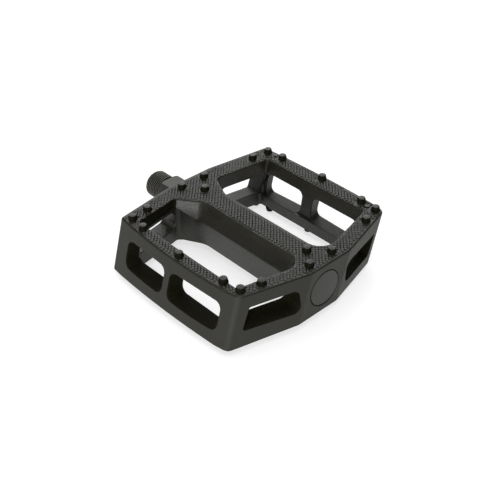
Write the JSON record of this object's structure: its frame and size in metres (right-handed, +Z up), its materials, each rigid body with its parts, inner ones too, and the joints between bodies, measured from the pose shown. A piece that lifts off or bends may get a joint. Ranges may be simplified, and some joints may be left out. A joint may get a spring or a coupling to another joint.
{
  "type": "flat bicycle pedal",
  "caption": "Moulded flat bicycle pedal: a wide leaning platform with open windows, pebbled treads and moulded studs, spinning on a threaded steel axle.",
  "frame": {"origin": "on the axle line at the shoulder of the axle that meets the crank", "axes": "+X along the axle, outboard from the crank; +Y forward along the bicycle with the platform level; +Z up"},
  "size_m": [0.1223, 0.1082, 0.0313],
  "materials": {
    "moulding": "moulded black with a fine grain, treads pebbled",
    "cap_plastic": "moulded black, satin",
    "axle_steel": "turned, black oxide",
    "bearing_steel": "ground",
    "rubber": "black rubber",
    "bronze": "plain bearing bronze",
    "cage_brass": "pressed brass",
    "nylon": "white nylon"
  },
  "bodies": {
    "axle_group": {"axle": "axle_steel", "near_bearing_inner_ring": "bearing_steel", "far_bearing_inner_ring": "bearing_steel", "ring_spacer": "bearing_steel", "thrust_washer": "bearing_steel", "lock_nut": "bearing_steel", "nut_insert": "nylon"},
    "platform": {"platform_body": "moulding", "end_cap": "cap_plastic", "cap_o_ring": "rubber", "lip_seal": "rubber", "journal_bush": "bronze", "near_bearing_outer_ring": "bearing_steel", "near_bearing_seals": "rubber", "far_bearing_outer_ring": "bearing_steel", "far_bearing_seals": "rubber"},
    "near_balls": {"near_bearing_balls": "bearing_steel", "near_bearing_cage": "cage_brass"},
    "far_balls": {"far_bearing_balls": "bearing_steel", "far_bearing_cage": "cage_brass"}
  },
  "joints": [
    {"name": "platform_spin", "type": "hinge", "parent": "axle_group", "child": "platform", "pos_m": [0, 0, 0], "axis": [1, 0, 0], "continuous": true},
    {"name": "near_ball_roll", "type": "hinge", "parent": "axle_group", "child": "near_balls", "pos_m": [0, 0, 0], "axis": [1, 0, 0], "continuous": true},
    {"name": "far_ball_roll", "type": "hinge", "parent": "axle_group", "child": "far_balls", "pos_m": [0, 0, 0], "axis": [1, 0, 0], "continuous": true}
  ],
  "couplings": [
    {"joint": "near_ball_roll", "follows": "platform_spin", "ratio": 0.60526},
    {"joint": "far_ball_roll", "follows": "platform_spin", "ratio": 0.60526}
  ]
}
